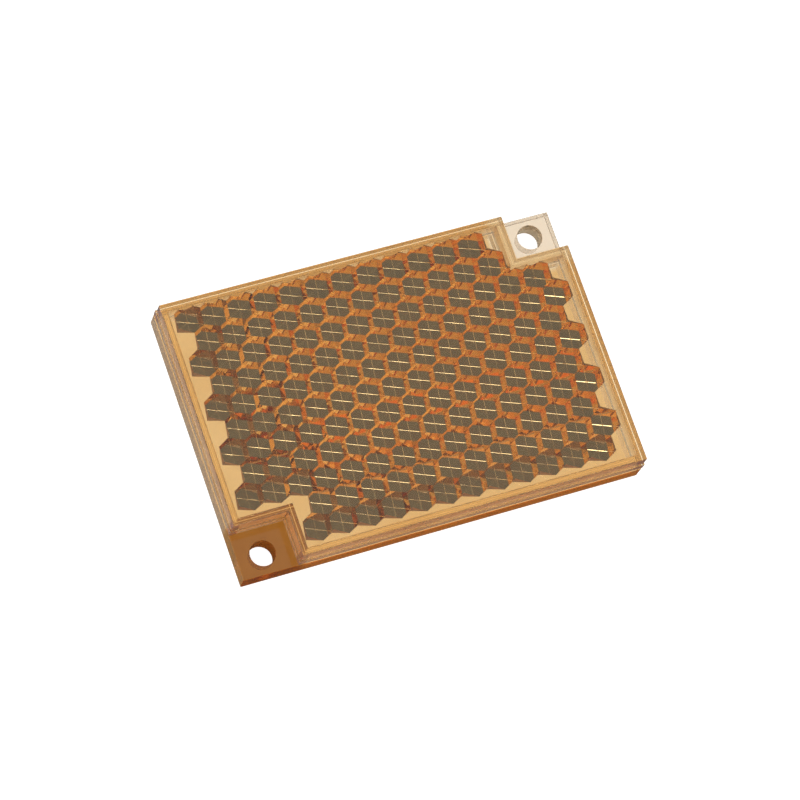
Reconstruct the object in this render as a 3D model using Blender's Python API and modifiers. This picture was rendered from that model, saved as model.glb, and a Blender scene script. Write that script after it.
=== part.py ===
"""Flat prismatic reflector plate: a clear moulded lens welded onto a back plate with two screw tabs.

+X runs along the long side, +Y towards the far long edge, +Z out of the reflecting face.
The origin is the middle of the flat back, so the plate lies on z = 0.
"""

import math

import bmesh
import bpy
from mathutils import Matrix, Vector

MM = 0.001

# Back plate: a shallow tray whose two full corners are the screw tabs.
PLATE_LENGTH = 60.0 * MM
PLATE_WIDTH = 40.3 * MM
TAB_THICKNESS = 3.2 * MM
PLATE_FLOOR = 1.5 * MM
LEDGE_HEIGHT = 2.75 * MM

# Screw holes, one in each tab.
HOLE_DIAMETER = 3.7 * MM
HOLE_SPACING_X = 52.4 * MM
HOLE_SPACING_Y = 34.2 * MM
HOLE_SIDES = 48

# Lens: a tray turned face up, with a corner cut out above each tab.
LENS_HALF_X = 29.85 * MM
LENS_HALF_Y = 20.0 * MM
NOTCH_X = 21.9 * MM
NOTCH_Y = 13.36 * MM
LENS_TOP = 7.2 * MM
LENS_BOTTOM = 3.7 * MM
LENS_WALL = 1.1 * MM
FACE_THICKNESS = 0.85 * MM
FACE_EDGE = 0.18 * MM

# Corner-cube prisms under the face. Each one is the low corner of a cube that stands on its point.
CELL_PITCH = 3.87 * MM
CELL_SIDE = CELL_PITCH / math.sqrt(2)
CELL_DROP = CELL_PITCH * math.sqrt(2 / 3)
ROW_PITCH = CELL_PITCH * math.sqrt(3) / 2
ROWS = 11
CELLS_PER_ROW = 14
FIRST_ROW_Y = 17.22 * MM
ROW_CENTRE = 6.75
ROOT_OVERLAP = 0.35 * MM
CEILING_LIFT = 0.05 * MM

# Weld bead: the seam of melted plastic between the lens wall and the ledge of the plate.
BEAD_WIDTH = 0.55 * MM
BEAD_INSET = 0.2 * MM
BEAD_BOTTOM = 3.05 * MM
BEAD_TOP = 3.4 * MM


def clear_scene():
    for obj in list(bpy.data.objects):
        bpy.data.objects.remove(obj, do_unlink=True)


def new_collection(name, hidden=False):
    collection = bpy.data.collections.new(name)
    bpy.context.scene.collection.children.link(collection)
    collection.hide_render = hidden
    return collection


def plastic(name, colour, roughness):
    """A clear moulded plastic of one colour."""
    material = bpy.data.materials.new(name)
    material.use_nodes = True
    shader = material.node_tree.nodes["Principled BSDF"]
    shader.inputs["Base Color"].default_value = (*colour, 1.0)
    shader.inputs["Roughness"].default_value = roughness
    shader.inputs["Metallic"].default_value = 0.0
    shader.inputs["IOR"].default_value = 1.49
    shader.inputs["Transmission Weight"].default_value = 0.9
    return material


def add_object(name, mesh, collection, material=None):
    obj = bpy.data.objects.new(name, mesh)
    collection.objects.link(obj)
    if material is not None:
        mesh.materials.clear()
        mesh.materials.append(material)
    return obj


def add_cutter(name, mesh, collection):
    obj = add_object(name, mesh, collection)
    obj.hide_render = True
    obj.display_type = "WIRE"
    return obj


def boolean(obj, other, operation, name):
    modifier = obj.modifiers.new(name, "BOOLEAN")
    modifier.operation = operation
    modifier.solver = "EXACT"
    modifier.object = other


def bevel(obj, width, segments, angle):
    modifier = obj.modifiers.new("edge", "BEVEL")
    modifier.width = width
    modifier.segments = segments
    modifier.limit_method = "ANGLE"
    modifier.angle_limit = math.radians(angle)


def notched_outline(half_x, half_y, notch_x, notch_y):
    """A rectangle with the corners at +X +Y and -X -Y cut out, as a closed run of points."""
    half = [(half_x, -half_y), (half_x, notch_y), (notch_x, notch_y), (notch_x, half_y)]
    return half + [(-x, -y) for x, y in half]


def rectangle(half_x, half_y):
    return [(half_x, -half_y), (half_x, half_y), (-half_x, half_y), (-half_x, -half_y)]


def slab_mesh(name, outline, bottom, top, holes=()):
    """A flat outline, with any holes, extruded from one height to another."""
    curve = bpy.data.curves.new(name, "CURVE")
    curve.dimensions = "2D"
    curve.fill_mode = "BOTH"
    curve.extrude = (top - bottom) / 2
    for run in (outline, *holes):
        spline = curve.splines.new("POLY")
        spline.points.add(len(run) - 1)
        for point, (x, y) in zip(spline.points, run):
            point.co = (x, y, 0.0, 1.0)
        spline.use_cyclic_u = True
    guide = bpy.data.objects.new(name + "_outline", curve)
    bpy.context.scene.collection.objects.link(guide)
    bpy.context.view_layer.update()
    graph = bpy.context.evaluated_depsgraph_get()
    mesh = bpy.data.meshes.new_from_object(guide.evaluated_get(graph))
    bpy.data.objects.remove(guide, do_unlink=True)
    mesh.transform(Matrix.Translation((0.0, 0.0, (top + bottom) / 2)))
    shell = bmesh.new()
    shell.from_mesh(mesh)
    bmesh.ops.remove_doubles(shell, verts=shell.verts, dist=1e-6)
    bmesh.ops.recalc_face_normals(shell, faces=shell.faces)
    shell.to_mesh(mesh)
    shell.free()
    mesh.name = name
    return mesh


def cell_positions():
    """The point of each prism in plan. The rows leave out the cells that the corner notches cut away."""
    for row in range(ROWS):
        for place in range(CELLS_PER_ROW):
            far_notch = row < 2 and place > CELLS_PER_ROW - 3
            near_notch = row > ROWS - 3 and place < 2
            if far_notch or near_notch:
                continue
            shift = 0.5 * (row % 2)
            yield (
                (place + shift - ROW_CENTRE) * CELL_PITCH,
                FIRST_ROW_Y - row * ROW_PITCH,
            )


def cube_on_its_corner():
    """The turn that stands a cube on a corner, with one of its low edges rising towards +Y."""
    upright = Vector((1, 1, 1)).rotation_difference(Vector((0, 0, 1))).to_matrix()
    low_edge = upright @ Vector((1, 0, 0))
    spin = math.pi / 2 - math.atan2(low_edge.y, low_edge.x)
    return Matrix.Rotation(spin, 3, "Z") @ upright


def prism_mesh(name, ceiling):
    """All the prisms as one closed block. Its points hang from the ceiling, its top ends inside the face."""
    tip_height = ceiling - CELL_DROP
    turn = cube_on_its_corner().to_4x4()
    block = bmesh.new()
    for x, y in cell_positions():
        centre = Vector((x, y, tip_height + CELL_SIDE * math.sqrt(3) / 2))
        cube = bmesh.ops.create_cube(
            block, size=CELL_SIDE, matrix=Matrix.Translation(centre) @ turn
        )
        tip = min(cube["verts"], key=lambda vert: vert.co.z)
        faces = {face for vert in cube["verts"] for face in vert.link_faces}
        upper = [face for face in faces if tip not in face.verts]
        bmesh.ops.delete(block, geom=upper, context="FACES")
    bmesh.ops.remove_doubles(block, verts=block.verts, dist=5e-6)
    rim = [edge for edge in block.edges if edge.is_boundary]
    risen = bmesh.ops.extrude_edge_only(block, edges=rim)["geom"]
    for item in risen:
        if isinstance(item, bmesh.types.BMVert):
            item.co.z = ceiling + ROOT_OVERLAP
    top_edges = [
        item
        for item in risen
        if isinstance(item, bmesh.types.BMEdge) and item.is_boundary
    ]
    bmesh.ops.contextual_create(block, geom=top_edges)
    bmesh.ops.recalc_face_normals(block, faces=block.faces)
    mesh = bpy.data.meshes.new(name)
    block.to_mesh(mesh)
    block.free()
    return mesh


def circle_outline(x, y, radius, sides):
    steps = [2 * math.pi * i / sides for i in range(sides)]
    return [(x + radius * math.cos(a), y + radius * math.sin(a)) for a in steps]


def cavity_outline(extra=0.0):
    """The inside of the lens wall. The extra is added all round."""
    inset = LENS_WALL - extra
    return notched_outline(
        LENS_HALF_X - inset, LENS_HALF_Y - inset, NOTCH_X - inset, NOTCH_Y - inset
    )


def build_back_plate(parts, helpers):
    hole_x = HOLE_SPACING_X / 2
    hole_y = HOLE_SPACING_Y / 2
    holes = [
        circle_outline(side * hole_x, side * hole_y, HOLE_DIAMETER / 2, HOLE_SIDES)
        for side in (1, -1)
    ]
    mesh = slab_mesh(
        "back_plate",
        rectangle(PLATE_LENGTH / 2, PLATE_WIDTH / 2),
        0.0,
        TAB_THICKNESS,
        holes,
    )
    plate = add_object(
        "back_plate", mesh, parts, plastic("plate_amber", (0.80, 0.50, 0.24), 0.12)
    )
    reach = 1.0 * MM
    step = add_cutter(
        "ledge_step",
        slab_mesh(
            "ledge_step",
            notched_outline(
                PLATE_LENGTH / 2 + reach,
                PLATE_WIDTH / 2 + reach,
                NOTCH_X + 0.15 * MM,
                NOTCH_Y + 0.15 * MM,
            ),
            LEDGE_HEIGHT,
            TAB_THICKNESS + reach,
        ),
        helpers,
    )
    pocket = add_cutter(
        "plate_pocket",
        slab_mesh("plate_pocket", cavity_outline(), PLATE_FLOOR, TAB_THICKNESS + reach),
        helpers,
    )
    boolean(plate, step, "DIFFERENCE", "ledge")
    boolean(plate, pocket, "DIFFERENCE", "pocket")
    return plate


def build_weld_bead(parts):
    """A low closed ring that follows the lens wall. The inner run of points makes its opening."""
    outer = LENS_WALL - BEAD_INSET
    inner = outer - BEAD_WIDTH
    mesh = slab_mesh(
        "weld_bead",
        cavity_outline(outer),
        BEAD_BOTTOM,
        BEAD_TOP,
        [cavity_outline(inner)],
    )
    return add_object(
        "weld_bead", mesh, parts, plastic("bead_amber", (0.87, 0.64, 0.38), 0.25)
    )


def build_front_lens(parts, helpers):
    ceiling = LENS_TOP - FACE_THICKNESS
    mesh = slab_mesh(
        "front_lens",
        notched_outline(LENS_HALF_X, LENS_HALF_Y, NOTCH_X, NOTCH_Y),
        LENS_BOTTOM,
        LENS_TOP,
    )
    lens = add_object(
        "front_lens", mesh, parts, plastic("lens_amber", (0.86, 0.56, 0.28), 0.05)
    )
    bevel(lens, FACE_EDGE, 1, 60)
    cavity = add_cutter(
        "lens_cavity",
        slab_mesh(
            "lens_cavity",
            cavity_outline(),
            LENS_BOTTOM - 1.0 * MM,
            ceiling + CEILING_LIFT,
        ),
        helpers,
    )
    prisms = add_cutter("lens_prisms", prism_mesh("lens_prisms", ceiling), helpers)
    boolean(lens, cavity, "DIFFERENCE", "cavity")
    boolean(lens, prisms, "UNION", "prisms")
    return lens


def main():
    clear_scene()
    parts = new_collection("reflector_plate")
    helpers = new_collection("cutters", hidden=True)
    frame = bpy.data.objects.new("reflector_plate_frame", None)
    parts.objects.link(frame)
    pieces = [
        build_back_plate(parts, helpers),
        build_weld_bead(parts),
        build_front_lens(parts, helpers),
    ]
    for piece in pieces:
        piece.parent = frame


main()
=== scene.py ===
# Flat amber reflector plate on a pale studio table
import math
import bmesh
import bpy
from mathutils import Matrix, Vector


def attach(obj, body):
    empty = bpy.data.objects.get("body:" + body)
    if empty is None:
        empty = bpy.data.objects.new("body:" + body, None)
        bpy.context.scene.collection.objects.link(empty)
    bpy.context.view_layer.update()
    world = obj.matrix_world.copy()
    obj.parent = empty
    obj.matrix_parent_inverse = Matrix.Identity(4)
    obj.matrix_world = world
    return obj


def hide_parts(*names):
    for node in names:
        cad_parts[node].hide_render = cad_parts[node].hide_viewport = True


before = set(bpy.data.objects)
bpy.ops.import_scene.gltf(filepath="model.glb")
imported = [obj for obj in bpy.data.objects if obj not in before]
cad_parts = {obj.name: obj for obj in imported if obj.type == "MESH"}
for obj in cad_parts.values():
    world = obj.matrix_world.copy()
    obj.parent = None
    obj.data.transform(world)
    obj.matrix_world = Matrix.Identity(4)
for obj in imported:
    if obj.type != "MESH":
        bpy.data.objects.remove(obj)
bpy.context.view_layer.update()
mm = 0.001
print("frame loaded")

# one notched outline serves the lens, the bead and the pocket in the plate
outlineSetup = {
    "halfX": 29.85 * mm,
    "halfY": 20.0 * mm,
    "notchX": 21.9 * mm,
    "notchY": 13.36 * mm,
    "wall": 1.1 * mm,
}


def notchedOutline(inset=0.0):
    o = outlineSetup
    x, y = o["halfX"] - inset, o["halfY"] - inset
    nx, ny = o["notchX"] - inset, o["notchY"] - inset
    half = [(x, -y), (x, ny), (nx, ny), (nx, y)]
    return half + [(-px, -py) for px, py in half]


def slab(name, outline, bottom, top):
    bm = bmesh.new()
    low = [bm.verts.new((x, y, bottom)) for x, y in outline]
    face = bm.faces.new(low)
    risen = bmesh.ops.extrude_face_region(bm, geom=[face])["geom"]
    for item in risen:
        if isinstance(item, bmesh.types.BMVert):
            item.co.z = top
    bmesh.ops.recalc_face_normals(bm, faces=bm.faces)
    return meshObject(name, bm)


def meshObject(name, bm):
    mesh = bpy.data.meshes.new(name)
    bm.to_mesh(mesh)
    bm.free()
    obj = bpy.data.objects.new(name, mesh)
    bpy.context.scene.collection.objects.link(obj)
    return obj


def join(obj, tool, operation):
    mod = obj.modifiers.new(operation.lower(), "BOOLEAN")
    mod.operation = operation
    mod.solver = "EXACT"
    mod.object = tool


def roundEdges(obj, width, segments, angle=50):
    mod = obj.modifiers.new("edges", "BEVEL")
    mod.width = width
    mod.segments = segments
    mod.limit_method = "ANGLE"
    mod.angle_limit = math.radians(angle)
    mod.harden_normals = False


def settle(obj, tools=()):
    # bakes the modifiers into the mesh, then drops the tools
    bpy.context.view_layer.update()
    graph = bpy.context.evaluated_depsgraph_get()
    mesh = bpy.data.meshes.new_from_object(obj.evaluated_get(graph))
    obj.modifiers.clear()
    obj.data = mesh
    for tool in tools:
        bpy.data.objects.remove(tool, do_unlink=True)
    return obj


# ---- clear plastics

plasticSetup = {
    "lens": {
        "clear": (0.98, 0.93, 0.82),
        "deep": (0.97, 0.90, 0.76),
        "roughness": (0.0, 0.006),
        "absorb": (0.94, 0.75, 0.34),
        "density": 200.0,
    },
    "plate": {
        "clear": (0.86, 0.64, 0.33),
        "deep": (0.81, 0.58, 0.27),
        # painted light: nearTab is a deep amber painted shadow, cast through the amber body
        # onto the near tab; farTab is a pale painted direct light on the far tab
        "nearTab": (0.38, 0.16, 0.02),
        "farTab": (0.93, 0.88, 0.79),
        "roughness": (0.0, 0.05),
        "absorb": (0.90, 0.76, 0.55),
        "density": 200.0,
    },
    "bead": {
        "clear": (1.0, 0.97, 0.92),
        "deep": (0.98, 0.93, 0.86),
        "roughness": (0.2, 0.4),
        "absorb": (0.94, 0.75, 0.34),
        "density": 200.0,
    },
}
# other surfaces of the same plastics, each a change to the plain one;
# milky is the share of light that the surface scatters and doesn't let through
lensSurfaces = {
    # painted edge glow: the front wall's deep orange stands in for the light carried
    # through the amber to the camera-facing side
    "frontWallPaintedGlow": {
        "milky": 0.3, "clear": (1.0, 0.66, 0.46), "deep": (0.92, 0.56, 0.36),
        "roughness": (0.08, 0.2),
    },
    # painted light: the milky amber on the prism block's sides stands in for the orange
    # light seen round the cells
    "blockSidePaintedLight": {
        "milky": 0.75, "clear": (0.72, 0.46, 0.24), "deep": (0.62, 0.38, 0.18),
        "roughness": (0.5, 0.6),
    },
    "sideWall": {
        "milky": 0.35, "clear": (1.0, 0.84, 0.71), "deep": (0.97, 0.78, 0.65),
        "roughness": (0.06, 0.18),
    },
}
plateSurfaces = {
    "underside": {"roughness": (0.60, 0.70)},
    # painted edge glow: the front edge's deep orange and its orange gleam stand in for the
    # light carried through the amber body
    "frontEdgePaintedGlow": {
        "clear": (1.0, 0.22, 0.012), "deep": (0.85, 0.16, 0.008),
        # nearTab and farTab in these surfaces are painted shadow on the near tab and
        # painted light on the far tab
        "nearTab": (1.0, 0.22, 0.012), "farTab": (0.8, 0.7, 0.6), "roughness": (0.05, 0.15),
        "gleam": (1.0, 0.55, 0.25),
    },
    "otherEdges": {
        "milky": 0.3, "clear": (1.0, 0.85, 0.71), "deep": (0.96, 0.79, 0.64),
        "nearTab": (1.0, 0.60, 0.25), "farTab": (0.86, 0.80, 0.72),
        "roughness": (0.08, 0.2),
    },
    "holeWall": {
        "milky": 0.4, "clear": (0.7, 0.42, 0.16), "deep": (0.7, 0.42, 0.16),
        "nearTab": (0.60, 0.18, 0.02), "farTab": (0.95, 0.80, 0.56),
        "roughness": (0.2, 0.35),
    },
}


# the painted tab colours fade in between these depths inside the notch lines: a deep amber
# painted shadow on the near tab, a pale painted light on the far tab
paintedTabFade = {"outer": 1.6 * mm, "inner": 0.8 * mm}


def paintedTabLightMask(nt, where, side):
    # 1 over one tab, 0 elsewhere; it places the painted tab shadow and tab light
    apart = nt.nodes.new("ShaderNodeSeparateXYZ")
    nt.links.new(where.outputs["Object"], apart.inputs["Vector"])
    both = nt.nodes.new("ShaderNodeMath")
    both.operation = "MINIMUM"
    lines = (("X", outlineSetup["notchX"]), ("Y", outlineSetup["notchY"]))
    for place, (axis, edge) in enumerate(lines):
        step = nt.nodes.new("ShaderNodeMapRange")
        step.inputs["From Min"].default_value = side * (edge - paintedTabFade["outer"])
        step.inputs["From Max"].default_value = side * (edge - paintedTabFade["inner"])
        nt.links.new(apart.outputs[axis], step.inputs["Value"])
        nt.links.new(step.outputs["Result"], both.inputs[place])
    return both.outputs["Value"]


# what every amber surface shares: the bend of light and the two cloudings
clearSetup = {
    "bend": 1.585,
    "cloudScale": 90.0,
    "cloudDetail": 3.0,
    "cloudEdges": (0.3, 0.7),
    "smearScale": 420.0,
    "smearDetail": 4.0,
    "smearEdges": (0.35, 0.7),
}


def amberPlastic(name, setup):
    c = clearSetup
    mat = bpy.data.materials.new(name)
    mat.use_nodes = True
    nt = mat.node_tree
    nodes, links = nt.nodes, nt.links
    shader = nodes["Principled BSDF"]
    shader.inputs["Transmission Weight"].default_value = 1.0 - setup.get("milky", 0.0)
    shader.inputs["IOR"].default_value = c["bend"]
    # gleam tints the mirror reflections; an orange gleam is a painted reflection colour
    gleam = setup.get("gleam", (1, 1, 1))
    shader.inputs["Specular Tint"].default_value = (*gleam, 1)
    where = nodes.new("ShaderNodeTexCoord")
    cloud = nodes.new("ShaderNodeTexNoise")
    cloud.inputs["Scale"].default_value = c["cloudScale"]
    cloud.inputs["Detail"].default_value = c["cloudDetail"]
    links.new(where.outputs["Object"], cloud.inputs["Vector"])
    tint = nodes.new("ShaderNodeValToRGB")
    for stop, shade in enumerate(("deep", "clear")):
        tint.color_ramp.elements[stop].color = (*setup[shade], 1)
        tint.color_ramp.elements[stop].position = c["cloudEdges"][stop]
    links.new(cloud.outputs["Fac"], tint.inputs["Fac"])
    colour = tint.outputs["Color"]
    # painted tab light: a deep amber painted shadow over the near tab, a pale painted light
    # over the far tab
    for tab, side in (("nearTab", -1), ("farTab", 1)):
        if tab in setup:
            tabLightMix = nodes.new("ShaderNodeMix")
            tabLightMix.data_type = "RGBA"
            links.new(paintedTabLightMask(nt, where, side), tabLightMix.inputs["Factor"])
            links.new(colour, tabLightMix.inputs["A"])
            tabLightMix.inputs["B"].default_value = (*setup[tab], 1)
            colour = tabLightMix.outputs["Result"]
    links.new(colour, shader.inputs["Base Color"])
    smear = nodes.new("ShaderNodeTexNoise")
    smear.inputs["Scale"].default_value = c["smearScale"]
    smear.inputs["Detail"].default_value = c["smearDetail"]
    links.new(where.outputs["Object"], smear.inputs["Vector"])
    rough = nodes.new("ShaderNodeMapRange")
    for end, edge, value in zip(("Min", "Max"), c["smearEdges"], setup["roughness"]):
        rough.inputs["From " + end].default_value = edge
        rough.inputs["To " + end].default_value = value
    links.new(smear.outputs["Fac"], rough.inputs["Value"])
    links.new(rough.outputs["Result"], shader.inputs["Roughness"])
    soak = nodes.new("ShaderNodeVolumeAbsorption")
    soak.inputs["Color"].default_value = (*setup["absorb"], 1)
    soak.inputs["Density"].default_value = setup["density"]
    links.new(soak.outputs["Volume"], nodes["Material Output"].inputs["Volume"])
    return mat


def plasticFamily(name, surfaces):
    # the plain plastic first, then one per named surface
    plain = plasticSetup[name]
    family = [amberPlastic(name + "Plastic", plain)]
    for surface, change in surfaces.items():
        family.append(amberPlastic(surface + "Plastic", {**plain, **change}))
    return family


lensPlastics = plasticFamily("lens", lensSurfaces)
platePlastics = plasticFamily("plate", plateSurfaces)
beadPlastic = amberPlastic("beadPlastic", plasticSetup["bead"])
print("plastics mixed")

# ---- front lens with its prisms

lensSetup = {
    "top": 7.2 * mm,
    "bottom": 3.42 * mm,
    "face": 0.85 * mm,
    "edge": 0.15 * mm,
    "pitch": 3.87 * mm,
    "rows": 11,
    "perRow": 14,
    "firstRowY": 17.22 * mm,
    "rowCentre": 6.75,
    "rootOverlap": 0.35 * mm,
    "ceilingLift": 0.05 * mm,
    "shoulder": 4.9 * mm,
    "skirt": 0.15 * mm,
    "skirtEdge": 0.05 * mm,
    "tabGap": 2,  # prisms left out of two rows at each tab
    "flatFace": 0.5,
    "uprightFace": 0.05,
    "skinDepth": 0.2 * mm,
    "wallDepth": 1.2 * mm,
    "crest": 0.062 * mm,
    "crestShare": {330: 1.0, 90: 0.28, 210: 0.12},  # by the heading of the crest line
}


def prismPoints():
    s = lensSetup
    for row in range(s["rows"]):
        for place in range(s["perRow"]):
            farTab = row < s["tabGap"] and place >= s["perRow"] - s["tabGap"]
            nearTab = row >= s["rows"] - s["tabGap"] and place < s["tabGap"]
            if farTab or nearTab:
                continue
            x = (place + 0.5 * (row % 2) - s["rowCentre"]) * s["pitch"]
            yield x, s["firstRowY"] - row * s["pitch"] * math.sqrt(3) / 2


def prismBlock(ceiling):
    # each prism is the low corner of a cube standing on its point
    s = lensSetup
    side = s["pitch"] / math.sqrt(2)
    tip = ceiling - s["pitch"] * math.sqrt(2 / 3)
    stand = Vector((1, 1, 1)).rotation_difference(Vector((0, 0, 1))).to_matrix()
    edge = stand @ Vector((1, 0, 0))
    turn = Matrix.Rotation(math.pi / 2 - math.atan2(edge.y, edge.x), 3, "Z") @ stand
    bm = bmesh.new()
    for x, y in prismPoints():
        centre = Matrix.Translation((x, y, tip + side * math.sqrt(3) / 2))
        made = bmesh.ops.create_cube(bm, size=side, matrix=centre @ turn.to_4x4())
        low = min(made["verts"], key=lambda v: v.co.z)
        faces = {f for v in made["verts"] for f in v.link_faces}
        upper = [f for f in faces if low not in f.verts]
        bmesh.ops.delete(bm, geom=upper, context="FACES")
    bmesh.ops.remove_doubles(bm, verts=bm.verts, dist=0.005 * mm)
    rim = [e for e in bm.edges if e.is_boundary]
    risen = bmesh.ops.extrude_edge_only(bm, edges=rim)["geom"]
    for item in risen:
        if isinstance(item, bmesh.types.BMVert):
            item.co.z = ceiling + s["rootOverlap"]
    top = [e for e in risen if isinstance(e, bmesh.types.BMEdge) and e.is_boundary]
    bmesh.ops.contextual_create(bm, geom=top)
    bmesh.ops.recalc_face_normals(bm, faces=bm.faces)
    # each crest line is softened by its own share, by the way that it points
    share = bm.edges.layers.float.new("bevel_weight_edge")
    for e in bm.edges:
        low, high = sorted(e.verts, key=lambda v: v.co.z)
        if low.co.z < tip + 0.05 * mm and len(e.link_faces) == 2:
            run = high.co - low.co
            way = math.degrees(math.atan2(run.y, run.x)) % 360
            heading = min(s["crestShare"], key=lambda w: abs(w - way))
            e[share] = s["crestShare"][heading]
    block = meshObject("prismBlock", bm)
    mod = block.modifiers.new("crests", "BEVEL")
    mod.width = s["crest"]
    mod.segments = 2
    mod.limit_method = "WEIGHT"
    return settle(block)


def nearOutline(x, y, depth):
    # whether a place is less than this depth inside the notched outline
    o = outlineSetup
    beside = abs(x) > o["notchX"] - depth and abs(y) > o["notchY"] - depth
    edge = abs(x) > o["halfX"] - depth or abs(y) > o["halfY"] - depth
    return edge or (x * y > 0 and beside)


def lensSurface(face):
    # 0 plain, 1 front wall, 2 side of the prism block, 3 side wall
    s, o = lensSetup, outlineSetup
    x, y, _ = face.center
    if abs(face.normal.z) > s["flatFace"]:
        return 0
    if not nearOutline(x, y, s["skinDepth"]):
        upright = abs(face.normal.z) <= s["uprightFace"]
        inWall = nearOutline(x, y, s["wallDepth"])
        return 2 if upright and not inWall else 0
    nearNotch = x < s["skinDepth"] - o["notchX"] and y < s["skinDepth"] - o["notchY"]
    return 1 if face.normal.y < -s["flatFace"] or nearNotch else 3


def makeLens():
    s = lensSetup
    ceiling = s["top"] - s["face"]
    lens = slab("frontLens", notchedOutline(), s["bottom"], s["top"])
    roundEdges(lens, s["edge"], 2)
    inside = notchedOutline(outlineSetup["wall"])
    low, high = s["bottom"] - 1 * mm, ceiling + s["ceilingLift"]
    cavity = slab("lensCavity", inside, low, high)
    for plastic in lensPlastics:
        lens.data.materials.append(plastic)
    prisms = prismBlock(ceiling)
    skirt = slab("lensSkirt", notchedOutline(-s["skirt"]), s["bottom"], s["shoulder"])
    roundEdges(skirt, s["skirtEdge"], 2)
    join(lens, skirt, "UNION")
    join(lens, cavity, "DIFFERENCE")
    join(lens, prisms, "UNION")
    settle(lens, (skirt, cavity, prisms))
    for face in lens.data.polygons:
        face.material_index = lensSurface(face)
    return lens


frontLens = makeLens()
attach(frontLens, "root")
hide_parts("front_lens")
print("lens moulded", len(frontLens.data.polygons), "faces")

# ---- back plate with its tabs

plateSetup = {
    "halfX": 30.0 * mm,
    "halfY": 20.15 * mm,
    "tab": 3.2 * mm,
    "ledge": 3.05 * mm,
    "floor": 1.5 * mm,
    "holeX": 26.2 * mm,
    "holeY": 17.1 * mm,
    "holeRadius": 1.85 * mm,
    "holeSides": 96,
    "ledgeGap": 0.15 * mm,
    "edge": 0.12 * mm,
    "flatFace": 0.5,
    "skinDepth": 0.1 * mm,
    "holeSkin": 0.05 * mm,
}


def plateSurface(face):
    # 0 plain, 1 underside, 2 front edge, 3 other edges, 4 hole wall
    s = plateSetup
    x, y, _ = face.center
    if face.normal.z < -s["flatFace"]:
        return 1
    if face.normal.z > s["flatFace"]:
        return 0
    for side in (1, -1):
        away = math.hypot(x - side * s["holeX"], y - side * s["holeY"])
        if away < s["holeRadius"] + s["holeSkin"]:
            return 4
    if y < s["skinDepth"] - s["halfY"]:
        return 2
    if abs(x) > s["halfX"] - s["skinDepth"] or y > s["halfY"] - s["skinDepth"]:
        return 3
    return 0


def makePlate():
    s = plateSetup
    x, y = s["halfX"], s["halfY"]
    plate = slab("backPlate", [(x, -y), (x, y), (-x, y), (-x, -y)], 0.0, s["tab"])
    roundEdges(plate, s["edge"], 2)
    tools = []
    for side in (1, -1):
        bm = bmesh.new()
        place = (side * s["holeX"], side * s["holeY"], s["tab"] / 2)
        bmesh.ops.create_cone(
            bm, cap_ends=True, segments=s["holeSides"], radius1=s["holeRadius"],
            radius2=s["holeRadius"], depth=s["tab"] * 2,
            matrix=Matrix.Translation(place),
        )
        tools.append(meshObject("holeTool", bm))
    above = s["tab"] + 1 * mm
    ledge = notchedOutline(-s["ledgeGap"])
    pocket = notchedOutline(outlineSetup["wall"])
    tools.append(slab("ledgeTool", ledge, s["ledge"], above))
    tools.append(slab("pocketTool", pocket, s["floor"], above))
    for tool in tools:
        join(plate, tool, "DIFFERENCE")
    settle(plate, tools)
    plate.data.materials.clear()
    for plastic in platePlastics:
        plate.data.materials.append(plastic)
    for face in plate.data.polygons:
        face.material_index = plateSurface(face)
    return plate


backPlate = makePlate()
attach(backPlate, "root")
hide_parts("back_plate")
print("back plate moulded")

# ---- weld bead between the two

beadSetup = {
    "bottom": 3.07 * mm,
    "top": 3.4 * mm,
    "inset": 0.2 * mm,
    "width": 0.55 * mm,
    "edge": 0.08 * mm,
}


def makeBead():
    s = beadSetup
    bead = slab("weldBead", notchedOutline(s["inset"]), s["bottom"], s["top"])
    roundEdges(bead, s["edge"], 2)
    inner = notchedOutline(s["inset"] + s["width"])
    inside = slab("beadInside", inner, s["bottom"] - 1 * mm, s["top"] + 1 * mm)
    join(bead, inside, "DIFFERENCE")
    settle(bead, (inside,))
    bead.data.materials.clear()
    bead.data.materials.append(beadPlastic)
    return bead


weldBead = makeBead()
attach(weldBead, "root")
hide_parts("weld_bead")
print("bead laid")

# ---- table, light and camera

tableSetup = {
    "size": 3.0,
    "drop": 0.2 * mm,
    "colour": (0.40, 0.395, 0.39),
    "roughness": 0.9,
    "glow": 1.0,
    "mirrored": (0.15, 0.14, 0.13),
}



def makeTable():
    s = tableSetup
    bm = bmesh.new()
    bmesh.ops.create_grid(bm, x_segments=1, y_segments=1, size=s["size"] / 2)
    table = meshObject("paleTable", bm)
    table.location.z = -s["drop"]
    mat = bpy.data.materials.new("tableCard")
    mat.use_nodes = True
    nodes, links = mat.node_tree.nodes, mat.node_tree.links
    shader = nodes["Principled BSDF"]
    shader.inputs["Base Color"].default_value = (*s["colour"], 1)
    shader.inputs["Roughness"].default_value = s["roughness"]
    shader.inputs["Emission Color"].default_value = (1, 1, 1, 1)
    shader.inputs["Emission Strength"].default_value = s["glow"]
    # mirror reflections of the card are kept out, as a polarising filter does
    dull = nodes.new("ShaderNodeBsdfDiffuse")
    dull.inputs["Color"].default_value = (*s["mirrored"], 1)
    path = nodes.new("ShaderNodeLightPath")
    pick = nodes.new("ShaderNodeMixShader")
    links.new(path.outputs["Is Reflection Ray"], pick.inputs["Fac"])
    links.new(shader.outputs["BSDF"], pick.inputs[1])
    links.new(dull.outputs["BSDF"], pick.inputs[2])
    links.new(pick.outputs["Shader"], nodes["Material Output"].inputs["Surface"])
    table.data.materials.append(mat)
    return table


makeTable()

lightSetup = {
    "back": {
        "place": (0.28, 0.56, 0.66), "size": 0.26, "power": 1.2,
        "colour": (0.88, 0.94, 1.0),
    },
    "left": {
        "place": (-0.7, 0.1, 0.40), "size": 0.8, "power": 1.2,
        "colour": (1.0, 0.98, 0.96),
    },
}


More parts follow.
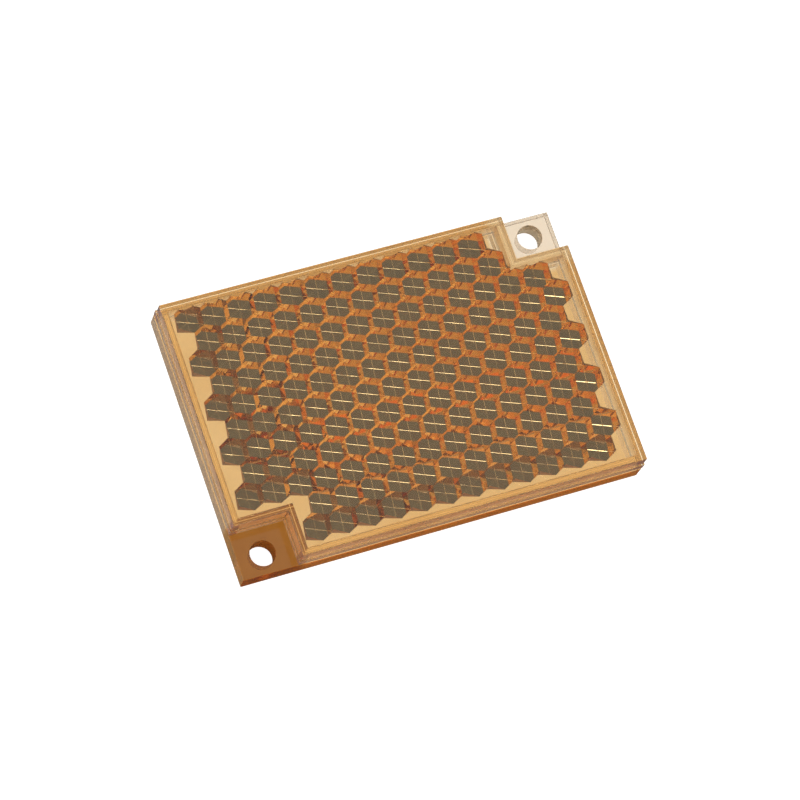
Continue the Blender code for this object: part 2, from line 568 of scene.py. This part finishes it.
def makeLight(name, s):
    data = bpy.data.lights.new(name, "AREA")
    data.shape = "SQUARE"
    data.size = s["size"]
    data.energy = s["power"]
    data.color = s["colour"]
    lamp = bpy.data.objects.new(name, data)
    lamp.location = s["place"]
    lamp.rotation_euler = (-Vector(s["place"])).to_track_quat("-Z", "Y").to_euler()
    bpy.context.scene.collection.objects.link(lamp)


for name, setup in lightSetup.items():
    makeLight(name, setup)

# a white tent all round, with a dim opening that the camera looks in through
worldSetup = {
    "seen": 1.0,
    "tent": 0.6,
    "opening": 0.135,
    "openingAt": (-0.278, -0.251, 0.927),
    "openingInner": 10,
    "openingOuter": 28,
}


def makeWorld():
    s = worldSetup
    world = bpy.data.worlds.new("paleRoom")
    world.use_nodes = True
    nt = world.node_tree
    sky = nt.nodes["Background"]
    sky.inputs["Color"].default_value = (1, 1, 1, 1)
    where = nt.nodes.new("ShaderNodeTexCoord")
    across = nt.nodes.new("ShaderNodeVectorMath")
    across.operation = "DOT_PRODUCT"
    across.inputs[1].default_value = s["openingAt"]
    nt.links.new(where.outputs["Generated"], across.inputs[0])
    room = nt.nodes.new("ShaderNodeMapRange")
    room.interpolation_type = "SMOOTHSTEP"
    room.inputs["From Min"].default_value = math.cos(math.radians(s["openingOuter"]))
    room.inputs["From Max"].default_value = math.cos(math.radians(s["openingInner"]))
    room.inputs["To Min"].default_value = s["tent"]
    room.inputs["To Max"].default_value = s["opening"]
    nt.links.new(across.outputs["Value"], room.inputs["Value"])
    path = nt.nodes.new("ShaderNodeLightPath")
    level = nt.nodes.new("ShaderNodeMapRange")
    level.inputs["To Max"].default_value = s["seen"]
    nt.links.new(path.outputs["Is Camera Ray"], level.inputs["Value"])
    nt.links.new(room.outputs["Result"], level.inputs["To Min"])
    nt.links.new(level.outputs["Result"], sky.inputs["Strength"])
    bpy.context.scene.world = world


makeWorld()

cameraSetup = {
    "aim": (-0.387 * mm, -1.281 * mm, 3.6 * mm),
    "azimuth": -47.912,
    "elevation": 68.002,
    "distance": 555.27 * mm,
    "roll": 30.518,
    "lens": 178.06,
    "sensor": 36.0,
    "nearest": 0.01,
}


def makeCamera():
    s = cameraSetup
    az, el = math.radians(s["azimuth"]), math.radians(s["elevation"])
    level = math.cos(el)
    back = Vector((math.sin(az) * level, -math.cos(az) * level, math.sin(el)))
    data = bpy.data.cameras.new("studioCamera")
    data.lens = s["lens"]
    data.sensor_width = s["sensor"]
    data.clip_start = s["nearest"]
    camera = bpy.data.objects.new("studioCamera", data)
    turn = back.to_track_quat("Z", "Y").to_matrix().to_4x4()
    place = Matrix.Translation(Vector(s["aim"]) + back * s["distance"])
    roll = Matrix.Rotation(math.radians(s["roll"]), 4, "Z")
    camera.matrix_world = place @ turn @ roll
    bpy.context.scene.collection.objects.link(camera)
    bpy.context.scene.camera = camera


makeCamera()
bpy.context.scene.view_settings.view_transform = "Standard"
# light turns round inside the prisms many times before it leaves
bounceSetup = {"all": 24, "mirrored": 20, "passed": 16}
bpy.context.scene.cycles.max_bounces = bounceSetup["all"]
bpy.context.scene.cycles.glossy_bounces = bounceSetup["mirrored"]
bpy.context.scene.cycles.transmission_bounces = bounceSetup["passed"]
print("table, light and camera set")
